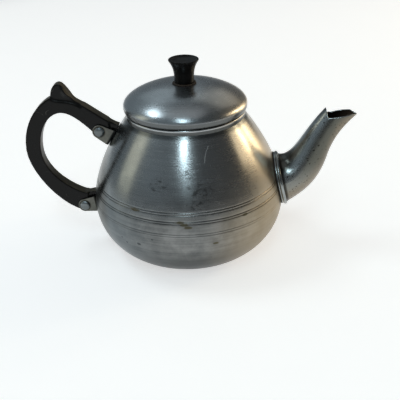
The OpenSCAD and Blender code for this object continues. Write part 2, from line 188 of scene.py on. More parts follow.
def shade(obj, sharp=35):
    """Smooth shading, with edges over `sharp` degrees kept crisp."""
    obj.data.shade_smooth()
    obj.data.set_sharp_from_angle(angle=math.radians(sharp))


def lathe(name, profile, material, segments=192, shape=None, sharp=35):
    """Turns a closed (r, z) profile round Z; shape(r, z, angle) may move each point."""
    verts, faces, rows = [], [], []
    for r, z in profile:
        if r < 1e-6:
            rows.append([len(verts)] * segments)
            verts.append((0.0, 0.0, z))
            continue
        row = []
        for j in range(segments):
            angle = 2 * math.pi * j / segments
            rr, zz = shape(r, z, angle) if shape else (r, z)
            row.append(len(verts))
            verts.append((rr * math.cos(angle), rr * math.sin(angle), zz))
        rows.append(row)
    for lower, upper in zip(rows, rows[1:] + rows[:1]):
        for j in range(segments):
            k = (j + 1) % segments
            corners = list(dict.fromkeys((lower[j], lower[k], upper[k], upper[j])))
            if len(corners) > 2:
                faces.append(corners)
    return new_object(name, verts, faces, material, sharp)


def ring_mesh(name, rings, material, sharp=35):
    """A closed skin through rings of equal length, the last ring joined to the first."""
    sides = len(rings[0])
    verts = [p for ring in rings for p in ring]
    faces = []
    for i in range(len(rings)):
        n = (i + 1) % len(rings)
        for j in range(sides):
            k = (j + 1) % sides
            faces.append((i * sides + j, i * sides + k, n * sides + k, n * sides + j))
    return new_object(name, verts, faces, material, sharp)


def add_modifier(obj, kind, **settings):
    modifier = obj.modifiers.new(kind.lower(), kind)
    for key, value in settings.items():
        setattr(modifier, key, value)
    return modifier


def apply_modifiers(obj, sharp=35):
    """Bakes the modifiers into the mesh."""
    bpy.context.view_layer.update()
    evaluated = obj.evaluated_get(bpy.context.evaluated_depsgraph_get())
    obj.data = bpy.data.meshes.new_from_object(evaluated)
    obj.modifiers.clear()
    shade(obj, sharp)


def cut(obj, cutter, sharp=35):
    """Takes the cutter's volume out of obj and deletes the cutter."""
    add_modifier(obj, "BOOLEAN", object=cutter, operation="DIFFERENCE", solver="EXACT")
    apply_modifiers(obj, sharp)
    bpy.data.objects.remove(cutter)


def join(name, objects):
    """One object with the meshes of several."""
    whole = bmesh.new()
    for obj in objects:
        whole.from_mesh(obj.data)
    mesh = bpy.data.meshes.new(name)
    whole.to_mesh(mesh)
    whole.free()
    mesh.materials.append(objects[0].data.materials[0])
    for obj in objects:
        bpy.data.objects.remove(obj)
    joined = bpy.data.objects.new(name, mesh)
    bpy.context.scene.collection.objects.link(joined)
    return joined


def place(obj, node, body):
    """The piece stands for a CAD node, which it hides, and rides on its body."""
    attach(obj, body)
    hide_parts(node)
    return obj


def on_wall(z):
    """Matrix of the frame on the pot wall at height z on the handle side: local +X points away
    from the wall and local +Z runs up the wall."""
    lean = math.atan(pot_r(z - 0.5) - pot_r(z + 0.5))
    spin = Matrix.Rotation(lean, 4, "Y") @ Matrix.Rotation(math.pi, 4, "Z")
    return Matrix.Translation((-MM * pot_r(z), 0, MM * z)) @ spin


# ---------------- shader helpers
def with_alpha(value):
    """A colour of three numbers gets full alpha; a socket or a plain number stays as it is."""
    return (*value, 1) if isinstance(value, tuple) else value


class Nodes:
    """Short calls that add shader nodes to a tree and link them."""

    def __init__(self, tree):
        self.tree = tree

    def node(self, kind, inputs=None, **settings):
        """A new node whose inputs are linked to sockets or set to values."""
        node = self.tree.nodes.new(kind)
        for key, value in settings.items():
            setattr(node, key, value)
        for key, value in (inputs or {}).items():
            if isinstance(value, bpy.types.NodeSocket):
                self.tree.links.new(value, node.inputs[key])
            else:
                node.inputs[key].default_value = value
        return node

    def vector(self, operation, a, b=None, **inputs):
        """Result of vector maths, a number where the operation gives one."""
        given = {0: a, **inputs}
        if b is not None:
            given[1] = b
        node = self.node("ShaderNodeVectorMath", given, operation=operation)
        return node.outputs["Value" if operation in ("LENGTH", "DISTANCE", "DOT_PRODUCT") else "Vector"]

    def math(self, operation, a, b=0.0, clamp=False):
        return self.node("ShaderNodeMath", {0: a, 1: b}, operation=operation, use_clamp=clamp).outputs[0]

    def plus(self, a, b):
        return self.math("ADD", a, b)

    def minus(self, a, b):
        return self.math("SUBTRACT", a, b)

    def times(self, a, b):
        """Product; of two masks it is 1 where both are 1."""
        return self.math("MULTIPLY", a, b)

    def any_of(self, masks):
        """1 where at least one mask is 1."""
        top, *rest = masks
        for mask in rest:
            top = self.math("MAXIMUM", top, mask)
        return top

    def step(self, value, low, high, to_low=0.0, to_high=1.0):
        """Smooth step of value from low..high to to_low..to_high."""
        given = {"Value": value, "From Min": low, "From Max": high, "To Min": to_low, "To Max": to_high}
        return self.node("ShaderNodeMapRange", given, interpolation_type="SMOOTHSTEP").outputs[0]


class Finish(Nodes):
    """A material under construction, with its place on the object as x, y and z in mm."""

    def __init__(self, name):
        self.material = bpy.data.materials.new(name)
        self.material.use_nodes = True
        super().__init__(self.material.node_tree)
        self.surface = self.tree.nodes["Principled BSDF"]
        metres = self.node("ShaderNodeTexCoord").outputs["Object"]
        self.mm = self.vector("SCALE", metres, Scale=1 / MM)
        self.x, self.y, self.z = self.node("ShaderNodeSeparateXYZ", {0: self.mm}).outputs

    def facing(self, axis):
        """The normal's share along axis "X", "Y" or "Z": 1 where the surface looks along it."""
        normal = self.node("ShaderNodeNewGeometry").outputs["Normal"]
        return self.node("ShaderNodeSeparateXYZ", {0: normal}).outputs[axis]

    def axle(self):
        """Distance from the Z axis in mm."""
        return self.math("SQRT", self.plus(self.times(self.x, self.x), self.times(self.y, self.y)))

    def from_wall(self):
        """Distance from the pot wall in mm, near the foot of the spout."""
        bend = self.math("MAXIMUM", self.minus(self.z, BELLY_Z), 0.0)
        drawn_in = self.times(self.times(bend, bend), WALL_BEND)
        return self.minus(self.plus(self.axle(), drawn_in), BELLY_R)

    def noise(self, size, detail=2.0, rough=0.5, stretch=(1, 1, 1), shift=0.0):
        """Noise with features of about `size` mm, drawn out by stretch."""
        point = self.vector("MULTIPLY", self.mm, tuple(1 / (size * s) for s in stretch))
        given = {"Vector": point, "W": shift, "Scale": 1.0, "Detail": detail, "Roughness": rough}
        return self.node("ShaderNodeTexNoise", given, noise_dimensions="4D").outputs["Fac"]

    def turned(self, size, waves=1.5):
        """Noise in fine rings of about `size` mm round the Z axis, as turning leaves them."""
        radius = self.axle()
        across = self.math("DIVIDE", self.times(self.x, waves), radius)
        along = self.math("DIVIDE", self.times(self.y, waves), radius)
        up = self.math("DIVIDE", self.z, size)
        point = self.node("ShaderNodeCombineXYZ", {0: across, 1: along, 2: up}).outputs[0]
        given = {"Vector": point, "W": self.math("DIVIDE", radius, size), "Scale": 1.0,
                 "Detail": 3.0, "Roughness": 0.6}
        return self.node("ShaderNodeTexNoise", given, noise_dimensions="4D").outputs["Fac"]

    def pits(self, size, share):
        """1 inside small round pits that take about `share` of their cells, 0 elsewhere."""
        given = {"Vector": self.mm, "Scale": 1 / size, "Randomness": 1.0}
        cells = self.node("ShaderNodeTexVoronoi", given, feature="F1")
        chance = self.node("ShaderNodeSeparateColor", {0: cells.outputs["Color"]}).outputs[0]
        spot = self.step(cells.outputs["Distance"], 0.10, 0.26, 1.0, 0.0)
        return self.times(spot, self.step(chance, share, share * 0.8))

    def scratches(self, size, width=0.006):
        """Sparse thin wandering lines."""
        line = self.math("ABSOLUTE", self.minus(self.noise(size, 1.0, 0.3, shift=3.1), 0.5))
        here = self.step(self.noise(size * 0.7, 2.0, shift=8.3), 0.55, 0.64)
        return self.times(self.step(line, width, width * 0.3), here)

    def line(self, start, end, width):
        """1 on a thin straight line over the front half, from start to end, both (x, z) in mm."""
        run = (end[0] - start[0], 0.0, end[1] - start[1])
        flat = self.vector("MULTIPLY", self.mm, (1.0, 0.0, 1.0))
        out = self.vector("SUBTRACT", flat, (start[0], 0.0, start[1]))
        along = self.vector("DOT_PRODUCT", out, run)
        share = self.math("DIVIDE", along, run[0] ** 2 + run[2] ** 2, clamp=True)
        away = self.vector("DISTANCE", out, self.vector("SCALE", run, Scale=share))
        return self.times(self.step(away, width, width * 0.4), self.step(self.y, 0.0, -5.0))

    def tint(self, factor, under, over):
        """Colour `under` covered by `over` where factor is 1."""
        given = {0: factor, 6: with_alpha(under), 7: with_alpha(over)}
        return self.node("ShaderNodeMix", given, data_type="RGBA", clamp_factor=True).outputs[2]

    def bump(self, height, depth, previous=None):
        """Bump of `depth` mm where height goes from 0 to 1."""
        given = {"Height": height, "Distance": depth * MM, "Strength": 1.0}
        if previous is not None:
            given["Normal"] = previous
        return self.node("ShaderNodeBump", given).outputs[0]

    def wire(self, **inputs):
        """Links or sets the shader's own sockets; underscores stand for spaces."""
        for key, value in inputs.items():
            socket = self.surface.inputs[key.replace("_", " ")]
            if isinstance(value, bpy.types.NodeSocket):
                self.tree.links.new(value, socket)
            else:
                socket.default_value = with_alpha(value)
        return self.material


# ---------------- materials
RAW_METAL = (0.75, 0.76, 0.77)
# Dark dirt in pits, lines and specks; at the pot's neck, the lid's bottom edge and the spout next to the
# collar the same colour is painted shade, and round the cross rivets it is partly painted shadow.
GRIME_AND_SHADE = (0.022, 0.019, 0.014)
BROWN = (0.085, 0.070, 0.035)
# Wear on the front of the pot: centre and half sizes in mm.
BROWN_STAINS = [((-33, -58.4, 58.3), (5, 4, 1.3)), ((-2.2, -68.4, 53.3), (3.6, 4, 1.2)),
                ((0.6, -68.7, 51.7), (3.2, 4, 1.3)), ((3.2, -68.9, 49.9), (3.4, 4, 1.4)),
                ((41, -55.1, 51.8), (2.4, 4, 1.2)), ((21.4, -66.4, 36.4), (2.4, 3, 1.1))]
DARK_SPOTS = [((-31.5, -61.8, 33.2), (1.8, 3, 1.4)), ((-40.7, -55.7, 31), (1, 3, 0.8)),
              ((-21.7, -66.5, 39.2), (0.8, 3, 0.7)), ((-44, -53, 34), (0.9, 3, 0.6))]
MOTTLES = [((5, -56.2, 82.6), (7, 8, 5)), ((11.5, -60.1, 73.4), (13, 8, 6)),
           ((9, -64, 64.4), (15, 8, 4)), ((-16, -58, 75), (8, 8, 6))]
# A thin bright scratch on the front of the pot: its corners as (x, z) in mm.
LONG_SCRATCH = [(14.6, 88.6), (14.9, 92.0), (15.7, 95.0), (17.2, 97.6)]


class Metal(Finish):
    """Aluminium with handling wear: clouds of oxide, faint scratches, pits and turning rings."""

    def __init__(self, name, bright, dull, rough):
        super().__init__(name)
        self.rag = self.noise(2.2, 5.0, 0.7, shift=1.7)
        cloud = self.step(self.noise(30, 4.0, 0.6, shift=4.4), 0.30, 0.72)
        smear = self.step(self.noise(8, 5.0, 0.68, shift=6.1), 0.35, 0.75)
        shine = self.plus(self.times(cloud, 0.55), self.times(smear, 0.45))
        self.colour = self.tint(shine, dull, bright)
        self.rough = self.plus(self.times(smear, -0.05), rough)
        self.normal = self.bump(self.noise(18, 3.0, shift=2.2), 0.10)
        self.metallic = 1.0

    def spot(self, centre, size, rag=0.45):
        """1 inside a ragged blot of the given half sizes round centre, in mm."""
        away = self.vector("SUBTRACT", self.mm, centre)
        away = self.vector("MULTIPLY", away, tuple(1 / s for s in size))
        ragged = self.times(self.minus(self.rag, 0.5), rag * 2)
        return self.step(self.plus(self.vector("LENGTH", away), ragged), 1.0, 0.55)

    def scraped(self, mask, strength):
        """Raw metal in a scratch where mask is 1: pale, and seen by scattered light."""
        scratch = self.times(mask, strength)
        self.colour = self.tint(scratch, self.colour, RAW_METAL)
        self.metallic = self.math("MINIMUM", self.metallic, self.minus(1.0, scratch))

    def scratched(self, size, strength):
        """Faint scratches all over."""
        self.scraped(self.scratches(size), strength)

    def pitted(self, size, share, depth):
        """Dark pits `depth` mm deep in about `share` of the cells of a given size."""
        pit = self.pits(size, share)
        self.colour = self.tint(self.times(pit, 0.8), self.colour, GRIME_AND_SHADE)
        self.normal = self.bump(pit, -depth, self.normal)

    def ringed(self, depth, stretched):
        """Turning rings in colour, gloss and relief; highlights are drawn out across them."""
        rings = self.turned(0.9)
        fine = self.turned(0.3)
        both = self.times(self.plus(rings, fine), 0.5)
        self.colour = self.tint(self.step(both, 0.40, 0.62, 0.07, 0.0), self.colour, (0.12, 0.12, 0.12))
        self.rough = self.plus(self.rough, self.step(both, 0.35, 0.65, -0.02, 0.03))
        self.normal = self.bump(rings, depth, self.normal)
        self.normal = self.bump(fine, depth * 0.4, self.normal)
        tangent = self.node("ShaderNodeTangent", direction_type="RADIAL", axis="Z").outputs[0]
        self.wire(Anisotropic=stretched, Anisotropic_Rotation=0.25, Tangent=tangent)

    def dirt_and_painted_light(self, mask, colour, strength, rougher=0.0):
        """One colour where mask is 1: dirt and oxidised metal in some places, painted light and shade in
        others.
        """
        self.colour = self.tint(self.times(mask, strength), self.colour, colour)
        if rougher:
            self.rough = self.plus(self.rough, self.times(mask, rougher))

    def done(self):
        return self.wire(Base_Color=self.colour, Metallic=self.metallic, Roughness=self.rough,
                         Normal=self.normal)


def pot_tones(f):
    """Streaky oxidised metal that takes over below the slope, deepened there by painted shade; painted
    warm light at the right, painted cool light at the left and painted shade along the left edge.
    """
    striped = f.step(f.turned(1.6), 0.38, 0.62)
    clouded = f.step(f.noise(12, 5.0, 0.65, shift=9.9), 0.30, 0.70)
    mottle = f.plus(f.times(striped, 0.32), f.times(clouded, 0.68))
    oxide_and_shade = f.tint(mottle, (0.125, 0.13, 0.13), (0.265, 0.27, 0.265))
    # Below the slope: duller oxidised metal, partly real and partly painted shade that dims the floor's
    # reflection.
    f.dirt_and_painted_light(f.step(f.z, 84, 58), oxide_and_shade, 0.60)
    f.dirt_and_painted_light(f.step(f.z, 61, 50), oxide_and_shade, 1.0, 0.08)
    # Painted shade: darker towards the bottom of the bowl.
    f.dirt_and_painted_light(f.step(f.z, 38, 12), (0.055, 0.060, 0.060), 0.92)
    # Painted warm light on the right side.
    f.dirt_and_painted_light(f.step(f.x, 8, 62), (0.45, 0.345, 0.20), 0.60)
    # Painted cool light on the left side, weaker high up.
    left = f.times(f.step(f.x, -14, -60), f.step(f.z, 96, 84, 0.35, 1.0))
    f.dirt_and_painted_light(left, (0.085, 0.120, 0.140), 0.55)
    # Painted shade along the left edge of the wall, below the height of the upper bracket.
    f.dirt_and_painted_light(f.times(f.step(f.x, -52, -60), f.step(f.z, 96, 86)), (0.05, 0.055, 0.05), 0.85)
    f.rough = f.plus(f.rough, f.step(f.x, 38, 60, 0.0, 0.10))


def pot_wear_and_shade(f):
    """Painted shade on the neck and under the lid's edge, dirt in the turned lines, stains and specks,
    and one long scratch.
    """
    below_bead = f.step(f.z, RIM_Z - 1.1, RIM_Z - 1.7)
    # Painted shade on the top of the neck and the rim's band under the lid.
    f.dirt_and_painted_light(f.times(f.step(f.z, NECK_Z - 3.5, NECK_Z - 1), below_bead), (0.10, 0.11, 0.11), 0.75)
    for z, strength in zip(BAND_Z, (0.75, 0.75, 0.12)):
        from_pair = f.math("ABSOLUTE", f.minus(f.z, z))
        from_line = f.math("ABSOLUTE", f.minus(from_pair, BAND_GAP / 2))
        patchy = f.step(f.noise(9, 4.0, shift=5.5), 0.30, 0.55, 0.35, 1)
        f.dirt_and_painted_light(f.times(f.step(from_line, 0.32, 0.12), patchy), GRIME_AND_SHADE, strength, 0.1)
    f.dirt_and_painted_light(f.any_of([f.spot(*s) for s in BROWN_STAINS]), BROWN, 0.75, 0.15)
    f.dirt_and_painted_light(f.any_of([f.spot(*s) for s in DARK_SPOTS]), (0.03, 0.033, 0.04), 0.6, 0.2)
    mottled = f.any_of([f.spot(*s) for s in MOTTLES])
    speck = f.step(f.noise(1.3, 4.0, 0.7, (2.2, 2.2, 1), 7.7), 0.52, 0.58)
    f.dirt_and_painted_light(f.times(mottled, speck), GRIME_AND_SHADE, 0.6)
    pepper = f.step(f.noise(1.1, 3.0, 0.6, (1.6, 1.6, 1), 2.9), 0.66, 0.74)
    f.dirt_and_painted_light(pepper, GRIME_AND_SHADE, 0.5)
    # More painted shade on the rim's band under the lid's edge.
    f.dirt_and_painted_light(f.times(f.step(f.z, NECK_Z - 0.6, NECK_Z + 1.2), below_bead), GRIME_AND_SHADE, 0.45, 0.15)
    for start, end in zip(LONG_SCRATCH, LONG_SCRATCH[1:]):
        f.scraped(f.line(start, end, 0.30), 0.35)


def pot_finish():
    """The pot: satin above the turned lines, duller oxidised metal below with painted shade over it, dirt
    in the lines and painted shade at the neck.
    """
    f = Metal("spun_pot", (0.52, 0.545, 0.555), (0.40, 0.42, 0.43), 0.26)
    f.scratched(24, 0.22)
    f.ringed(0.0009, 0.45)
    pot_tones(f)
    pot_wear_and_shade(f)
    return f.done()


def lid_finish():
    """The lid: cooler than the pot, with painted warm light at its right, painted shade where the dome
    meets its edge and along its bottom edge.
    """
    f = Metal("spun_lid", (0.52, 0.555, 0.58), (0.40, 0.43, 0.45), 0.30)
    f.scratched(20, 0.25)
    f.ringed(0.002, 0.35)
    # Painted warm light on the right side.
    f.dirt_and_painted_light(f.step(f.x, 12, 46), (0.64, 0.52, 0.36), 0.60)
    f.normal = f.bump(f.noise(1.5, 3.0, 0.6, shift=5.2), 0.016, f.normal)
    # Painted shade on the turned edge below the dome.
    f.dirt_and_painted_light(f.step(f.z, LID_Z + 4.8, LID_Z + 3.4), (0.10, 0.105, 0.105), 0.9)
    pepper = f.step(f.noise(1.2, 3.0, 0.6, shift=2.9), 0.66, 0.74)
    f.dirt_and_painted_light(pepper, GRIME_AND_SHADE, 0.5)
    # Painted shade along the bottom edge, where the lid sits on the rim.
    f.dirt_and_painted_light(f.step(f.z, LID_Z + 0.9, LID_Z + 0.1), GRIME_AND_SHADE, 0.8, 0.2)
    return f.done()


def spout_finish():
    """The spout: polished, with pits; painted shade on its sides and top, a painted warm reflection
    underneath, and painted shade next to the collar.
    """
    f = Metal("drawn_spout", (0.62, 0.66, 0.67), (0.44, 0.47, 0.47), 0.26)
    up = f.facing("Z")
    # Painted shade on the sides that look sideways and down.
    f.dirt_and_painted_light(f.step(up, 0.40, 0.10), (0.20, 0.20, 0.18), 0.9)
    # Deeper painted shade on the higher sides.
    f.dirt_and_painted_light(f.times(f.step(up, 0.42, 0.15), f.step(f.z, 50, 72)), (0.085, 0.085, 0.070), 0.8)
    # Painted warm reflection on the underside.
    f.dirt_and_painted_light(f.step(up, 0.05, -0.35), (0.27, 0.225, 0.165), 0.7)
    # Painted shade on the top, where it looks up.
    f.dirt_and_painted_light(f.step(up, 0.48, 0.72), (0.045, 0.042, 0.032), 0.88)
    # Painted shade on the spout next to the collar's bead.
    collar_end = COLLAR_LAND_W + COLLAR_W
    f.dirt_and_painted_light(f.step(f.from_wall(), collar_end + 1.8, collar_end + 0.4), GRIME_AND_SHADE, 0.85)
    f.scratched(16, 0.2)
    for size, share, depth in ((1.5, 0.35, 0.02), (2.3, 0.55, 0.03), (3.6, 0.30, 0.05)):
        f.pitted(size, share, depth)
    return f.done()


def collar_finish():
    """The collar and the lip of the beak: bright where hands and cloths rub; on the lip this brighter
    metal is also a painted edge highlight.
    """
    f = Metal("collar_bead", (0.46, 0.49, 0.49), (0.27, 0.29, 0.29), 0.24)
    f.scratched(9, 0.3)
    return f.done()


def tea_stained_finish():
    """Inside of the pot and the spout: dull aluminium under years of tea, darker still inside the spout.
    """
    f = Metal("tea_stained", (0.20, 0.18, 0.15), (0.10, 0.085, 0.065), 0.50)
    wavy_z = f.plus(f.z, f.times(f.noise(16, 4.0, 0.6, shift=0.6), 9.0))
    f.dirt_and_painted_light(f.step(wavy_z, 96, 82), (0.045, 0.028, 0.014), 0.8, 0.1)
    f.dirt_and_painted_light(f.step(f.noise(3, 5.0, 0.7, shift=8.8), 0.5, 0.7), (0.03, 0.018, 0.009), 0.6)
    # Darker still inside the spout.
    f.dirt_and_painted_light(f.step(f.x, BELLY_R, BELLY_R + 20), (0.03, 0.02, 0.012), 0.85)
    return f.done()


def joint_dirt_finish():
    """Black dirt packed into the joint between pot and spout."""
    f = Finish("joint_dirt")
    grain = f.noise(0.8, 5.0, 0.7)
    colour = f.tint(grain, (0.006, 0.005, 0.004), (0.030, 0.024, 0.016))
    return f.wire(Base_Color=colour, Roughness=0.6, Normal=f.bump(grain, 0.1))


def sheet_finish():
    """Dull pressed sheet, black round the heads of the cross rivets with old grease and painted shadow of
    the heads.
    """
    f = Metal("pressed_sheet", (0.155, 0.155, 0.135), (0.075, 0.077, 0.07), 0.34)
    f.scratched(7, 0.35)
    f.pitted(1.4, 0.14, 0.03)
    flat = f.vector("MULTIPLY", f.mm, (1.0, 0.0, 1.0))
    # Dark rings round the cross rivets' heads: old grease, and painted shadow.
    for z, reach in BRACKETS.values():
        axis = on_wall(z) @ Vector((reach * MM, 0, 0)) / MM
        f.dirt_and_painted_light(f.step(f.vector("DISTANCE", flat, tuple(axis)), EAR_R - 0.1, CROSS_HEAD_R), GRIME_AND_SHADE, 0.8)
    return f.done()


def rivet_finish():
    """Rivets: satin heads, with painted shade on the sides that look down."""
    f = Metal("rivet_metal", (0.35, 0.385, 0.40), (0.23, 0.255, 0.265), 0.36)
    # Painted shade on the sides that look down.
    f.dirt_and_painted_light(f.step(f.facing("Z"), 0.5, -0.1), (0.11, 0.12, 0.12), 0.8)
    f.scratched(4, 0.3)
    return f.done()


def phenolic_finish(name, wear, gloss):
    """Black phenolic moulding, brown from wear on its narrow sides, with a painted sheen making the brown
    strongest on those that look up.
    """
    f = Finish(name)
    narrow = f.step(f.math("ABSOLUTE", f.facing("Y")), 0.85, 0.35, 0.0, wear)
    # Painted sheen: the brown grows on the narrow sides that look up.
    worn = f.times(narrow, f.step(f.facing("Z"), -0.2, 0.7, 0.45, 1.0))
    bloom_and_sheen = f.times(worn, f.step(f.noise(7, 4.0, 0.6), 0.25, 0.7, 0.35, 1))
    mottled = f.tint(f.noise(5, 5.0, 0.7, shift=3.3), (0.0035, 0.0035, 0.0035), (0.008, 0.007, 0.006))
    colour = f.tint(bloom_and_sheen, mottled, (0.075, 0.060, 0.039))
    colour = f.tint(f.times(f.scratches(13), 0.35), colour, (0.10, 0.095, 0.085))
    grain = f.noise(1.1, 4.0, 0.6, shift=5.9)
    rough = f.plus(f.times(grain, 0.10), f.times(bloom_and_sheen, 0.16))
    normal = f.bump(grain, 0.0015, f.bump(f.noise(9, 2.0, shift=1.2), 0.03))
    return f.wire(Base_Color=colour, Roughness=f.plus(rough, 0.20), Normal=normal,
                  Specular_IOR_Level=gloss)


def brass_finish():
    """Turned brass with fine rings."""
    f = Finish("turned_brass")
    rings = f.turned(0.4)
    colour = f.tint(rings, (0.42, 0.28, 0.11), (0.66, 0.48, 0.20))
    return f.wire(Base_Color=colour, Metallic=1.0, Roughness=f.step(rings, 0.2, 0.8, 0.28, 0.42),
                  Normal=f.bump(rings, 0.01))


def fibre_finish():
    """Brown fibre washer: matte, with frayed darker patches."""
    f = Finish("brown_fibre")
    grain = f.noise(0.9, 5.0, 0.7)
    colour = f.tint(f.step(grain, 0.35, 0.75), (0.012, 0.008, 0.006), (0.055, 0.030, 0.016))
    return f.wire(Base_Color=colour, Roughness=0.78, Normal=f.bump(grain, 0.12))


def steel_finish():
    """Dull plated steel with spots of rust."""
    f = Finish("plated_steel")
    rust = f.step(f.noise(2.2, 5.0, 0.7), 0.52, 0.66)
    colour = f.tint(rust, (0.48, 0.48, 0.47), (0.13, 0.060, 0.028))
    rings = f.turned(0.4)
    rough = f.plus(f.times(rust, 0.4), f.times(rings, 0.08))
    return f.wire(Base_Color=colour, Metallic=f.minus(1.0, rust),
                  Roughness=f.plus(rough, 0.26), Normal=f.bump(rust, 0.05))


POT = pot_finish()
LID = lid_finish()
SPOUT = spout_finish()
COLLAR = collar_finish()
TEA_STAINED = tea_stained_finish()
JOINT_DIRT = joint_dirt_finish()
SHEET = sheet_finish()
RIVET = rivet_finish()
PHENOLIC = phenolic_finish("black_phenolic", wear=1.0, gloss=0.17)
KNOB_PHENOLIC = phenolic_finish("knob_phenolic", wear=0.0, gloss=0.09)
BRASS = brass_finish()
FIBRE = fibre_finish()
STEEL = steel_finish()


# ---------------- pot
def grooved(points):
    """The outer wall with its three pairs of turned V-lines, the lowest pair worn shallow."""
    lines = [(z + side * BAND_GAP, depth) for z, depth in zip(BAND_Z, BAND_DEPTH) for side in (-0.5, 0.5)]
    half = GROOVE_HALF_W
    kept = [tuple(p) for p in points if all(abs(p[1] - z) > half + 0.3 for z, _ in lines)]
    for z, depth in lines:
        kept += [(pot_r(z + dz) - sink, z + dz)
                 for dz, sink in ((-half - 0.2, 0), (-half, 0.03), (-0.07, depth),
                                  (0.07, depth), (half, 0.03), (half + 0.2, 0))]
    return sorted(kept, key=lambda p: p[1])


def pot_profile():
    """Closed outline: base, wall with its lines, beaded rim, and back down the inside."""
    wall = bezier_run(BOWL_CURVE, 60)[:-1] + bezier_run(SLOPE_CURVE, 70)
    foot = [(0, 0.8), (BASE_R - 6, 0.8), (BASE_R - 4, 0.55), (BASE_R - 2.5, 0.12), (BASE_R - 1, 0)]
    outer = grooved(wall[1:])
    rim = [(NECK_R + 0.15, NECK_Z + 0.25), (NECK_R + 0.35, NECK_Z + 0.8)]
    rim += arc((NECK_R - 0.25, RIM_Z - RIM_BEAD_R), RIM_BEAD_R, 0, 90, 7)
    rim += arc((MOUTH_R + 0.5, RIM_Z - 0.5), 0.5, 90, 180, 5)
    rim += arc((MOUTH_R + 0.4, RIM_Z - POT_WALL + 0.3), 0.4, 180, 250, 3)
    rim += [(NECK_R - POT_WALL, RIM_Z - POT_WALL), (NECK_R - POT_WALL, NECK_Z)]
    inside = offset(bezier_run(SLOPE_CURVE, 40), -POT_WALL)[::-1][1:]
    inside += offset(bezier_run(BOWL_CURVE, 30), -POT_WALL)[::-1][1:-1]
    return foot + outer + rim + inside + [(BASE_R - 1, POT_WALL), (0, POT_WALL)]


def pot_shape(r, z, angle):
    """Slight dents and ripple of old spun sheet; always inwards."""
    ripple = 0.05 * (1 + math.sin(3 * angle + z / 17)) + 0.03 * (1 + math.sin(5 * angle - z / 9))
    body = min(1, max(0, (z - 6) / 12)) * min(1, max(0, (NECK_Z - z) / 8))
    return r - ripple * body, z


def strainer_cutter():
    """Tubes through the wall behind the spout: a middle hole and two six-sided rings."""
    rods = []
    for row in range(-2, 3):
        count = 5 - abs(row)
        for i in range(count):
            up = row * STRAINER_PITCH * math.sqrt(3) / 2
            side = (i - (count - 1) / 2) * STRAINER_PITCH
            rod = lathe("rod", [(0, -6), (STRAINER_R, -6), (STRAINER_R, 6), (0, 6)], POT, 20)
            rod.data.transform(Matrix.Translation((MM * up, MM * side, 0)))
            rods.append(rod)
    rods = join("rods", rods)
    aim = Matrix.Rotation(math.pi / 2 - STRAINER_TILT, 4, "Y")
    rods.data.transform(Matrix.Translation((MM * pot_r(STRAINER_Z), 0, MM * STRAINER_Z)) @ aim)
    return rods


def make_pot():
    """The pot with its strainer holes, stained inside."""
    pot = lathe("pot_shell", pot_profile(), POT, 288, pot_shape)
    cut(pot, strainer_cutter())
    pot.data.materials.append(TEA_STAINED)
    for polygon in pot.data.polygons:
        x, y, z = polygon.center / MM
        inside = z > 0.9 and math.hypot(x, y) < min(pot_r(z), MOUTH_R + 1) - 0.7
        polygon.material_index = int(inside and z < RIM_Z - POT_WALL - 0.1)
    return place(pot, "pot_body", "pot")


# ---------------- spout and collar
def spout_line(curves, split, t):
    """Point at share t of an outline made of two curves that meet at share `split`."""
    if t < split:
        return bezier(curves[0], t / split)
    return bezier(curves[1], (t - split) / (1 - split))


def spout_half_width(t):
    """An even taper, then the rounded point of the beak."""
    width = SPOUT_BASE_R + (BEAK_W - SPOUT_BASE_R) * min(t / SPOUT_TAPER_END, 1)
    closed = max(0, t - BEAK_CLOSE) / (1.004 - BEAK_CLOSE)
    return width * math.sqrt(1 - closed ** 2)


def spout_point(t, angle, inset):
    """Point on the spout at share t of its length and angle from its top, moved inwards."""
    top = spout_line(SPOUT_TOP, SPOUT_CUT, t)
    low = spout_line(SPOUT_LOW, SPOUT_LOW_SPLIT, t)
    middle, half = (top + low) / 2, (top - low) / 2
    p = middle + half * (1 - inset / np.linalg.norm(half)) * math.cos(angle)
    return np.array((p[0], (spout_half_width(t) - inset) * math.sin(angle), p[1]))


def spout_end(angle, inset):
    """Share of the length at which the skin ends: at the square cut over the top half, and at
    the pouring lips below it."""
    low, high = SPOUT_CUT, 1.0
    for _ in range(20):
        middle = (low + high) / 2
        p = spout_point(middle, angle, inset)
        if p[2] > np.interp(p[0], LIP_X, LIP_HEIGHTS):
            high = middle
        else:
            low = middle
    return low


def seat(p):
    """The point just off the pot wall that lies beside a point of the spout's foot."""
    return np.array((math.sqrt((pot_r(p[2]) + SEAT_GAP) ** 2 - p[1] ** 2), p[1], p[2]))


def spout_skin(angles, ends, inset, rows=110):
    """Rings of one skin, from the pot wall to the ends at the lip."""
    rings = [[seat(spout_point(0, a, inset)) for a in angles]]
    for i in range(rows + 1):
        rings.append([spout_point(end * i / rows, a, inset) for a, end in zip(angles, ends)])
    return rings


def rounded_lip(outer, inner, rows=7):
    """Rings that close the sheet's cut edge in a half round."""
    rings = []
    for k in range(1, rows):
        turn = math.pi * k / rows
        ring = []
        for out, before, inn in zip(outer[-1], outer[-2], inner[-1]):
            along = (out - before) / np.linalg.norm(out - before)
            bulge = np.linalg.norm(out - inn) / 2 * math.sin(turn)
            ring.append((out + inn) / 2 + (out - inn) / 2 * math.cos(turn) + along * bulge * 0.8)
        rings.append(ring)
    return rings


